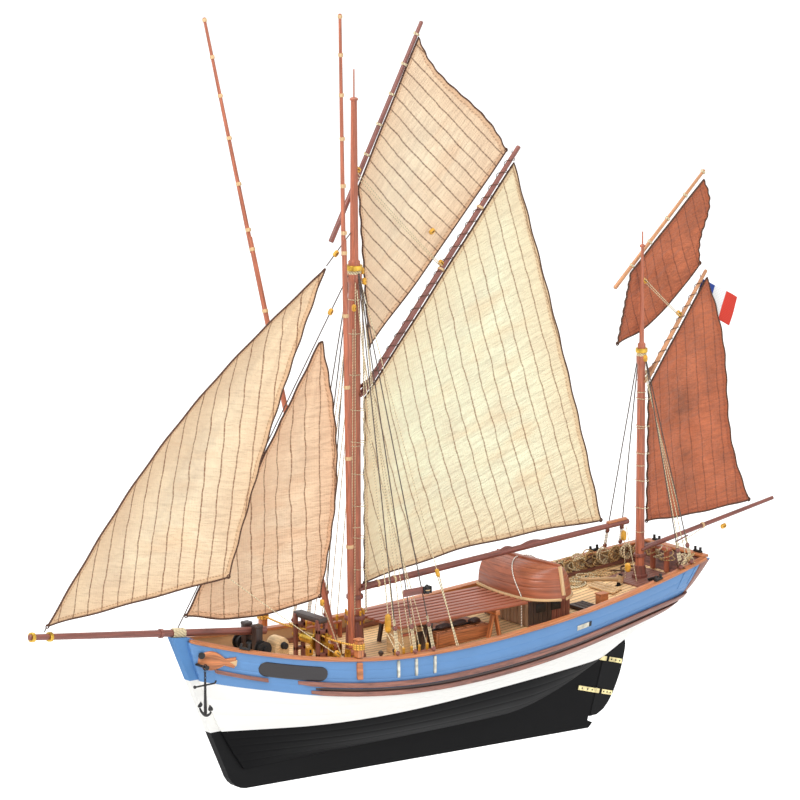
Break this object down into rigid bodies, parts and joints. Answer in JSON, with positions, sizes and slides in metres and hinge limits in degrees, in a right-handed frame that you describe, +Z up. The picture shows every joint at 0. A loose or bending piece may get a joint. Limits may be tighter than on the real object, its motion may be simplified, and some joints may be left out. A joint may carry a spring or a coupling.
{
  "type": "model sailing ship",
  "caption": "Display model of a gaff ketch fishing boat, planked hull with blue bulwarks, masts, sails set, hinged fishing poles, turning rudder, windlass and winch.",
  "frame": {"origin": "mouth of the fore keel socket, on the keel's underside below the main mast", "axes": "+X aft along the keel, +Y to starboard, +Z up"},
  "size_m": [0.5302, 0.1686, 0.4327],
  "materials": {
    "black_paint": "matte paint",
    "white_paint": "satin paint",
    "blue_paint": "satin paint",
    "plywood": "bare",
    "pale_wood": "oiled",
    "rail_wood": "satin varnish",
    "dark_wood": "satin varnish",
    "black_iron": "blackened",
    "brass": "satin",
    "pale_metal": "satin",
    "tan_cloth": "woven",
    "cream_cloth": "woven",
    "red_cloth": "woven",
    "flag_cloth": "woven",
    "black_cord": "twisted",
    "cream_cord": "twisted"
  },
  "bodies": {
    "ship": {"keel": "black_paint", "bulkheads": "plywood", "bottom_planking_port": "black_paint", "bottom_planking_starboard": "black_paint", "side_planking_port": "white_paint", "side_planking_starboard": "white_paint", "bulwark_port": "blue_paint", "bulwark_starboard": "blue_paint", "transom": "dark_wood", "deck": "pale_wood", "cap_rails": "rail_wood", "taffrail": "rail_wood", "rubbing_strakes": "dark_wood", "anchor_linings": "rail_wood", "chainplates": "pale_metal", "rail_posts": "rail_wood", "deck_irons": "black_iron", "bowsprit": "dark_wood", "windlass_bitts": "dark_wood", "fore_scuttle": "pale_wood", "winch_frame": "black_iron", "main_mast": "dark_wood", "spar_bands": "brass", "main_boom": "dark_wood", "main_gaff": "dark_wood", "topsail_yard": "dark_wood", "mizzen_mast": "dark_wood", "mizzen_boom": "dark_wood", "mizzen_gaff": "dark_wood", "mizzen_yard": "rail_wood", "pole_shoes": "brass", "jib": "tan_cloth", "staysail": "tan_cloth", "mainsail": "cream_cloth", "topsail": "tan_cloth", "mizzen_sail": "red_cloth", "mizzen_topsail": "red_cloth", "flag": "flag_cloth", "main_shrouds": "black_cord", "mizzen_shrouds": "black_cord", "stays": "black_cord", "sheets": "cream_cord", "rack_slats": "dark_wood", "rack_trestles": "dark_wood", "dinghy": "rail_wood", "after_house": "dark_wood", "hold_hatch": "dark_wood", "companion": "pale_wood", "gudgeons": "brass", "pin_rails": "dark_wood", "boom_crutch": "dark_wood", "rope_coil": "cream_cord"},
    "rudder": {"rudder": "black_paint", "rudder_straps": "brass", "tiller": "dark_wood"},
    "pole_port": {"pole_port": "dark_wood"},
    "pole_starboard": {"pole_starboard": "dark_wood"},
    "windlass": {"windlass_barrel": "black_iron"},
    "winch": {"winch_barrel": "brass"},
    "anchor": {"anchor": "black_iron"}
  },
  "joints": [
    {"name": "rudder_turn", "type": "hinge", "parent": "ship", "child": "rudder", "pos_m": [0.1698, 0, 0], "axis": [0.284, 0, 0.9588], "range_deg": [-35, 35]},
    {"name": "pole_port_swing", "type": "hinge", "parent": "ship", "child": "pole_port", "pos_m": [-0.008, -0.0075, 0.06934], "axis": [1, 0, 0], "range_deg": [0, 45]},
    {"name": "pole_starboard_swing", "type": "hinge", "parent": "ship", "child": "pole_starboard", "pos_m": [-0.008, 0.0075, 0.06934], "axis": [1, 0, 0], "range_deg": [-35, 12]},
    {"name": "windlass_turn", "type": "hinge", "parent": "ship", "child": "windlass", "pos_m": [-0.0714, 0, 0.082], "axis": [0, 1, 0], "continuous": true},
    {"name": "winch_turn", "type": "hinge", "parent": "ship", "child": "winch", "pos_m": [-0.031, 0, 0.079], "axis": [0, 1, 0], "continuous": true},
    {"name": "anchor_swing", "type": "hinge", "parent": "ship", "child": "anchor", "pos_m": [-0.113, -0.013, 0.079], "axis": [0, 1, 0], "range_deg": [-10, 20]}
  ]
}
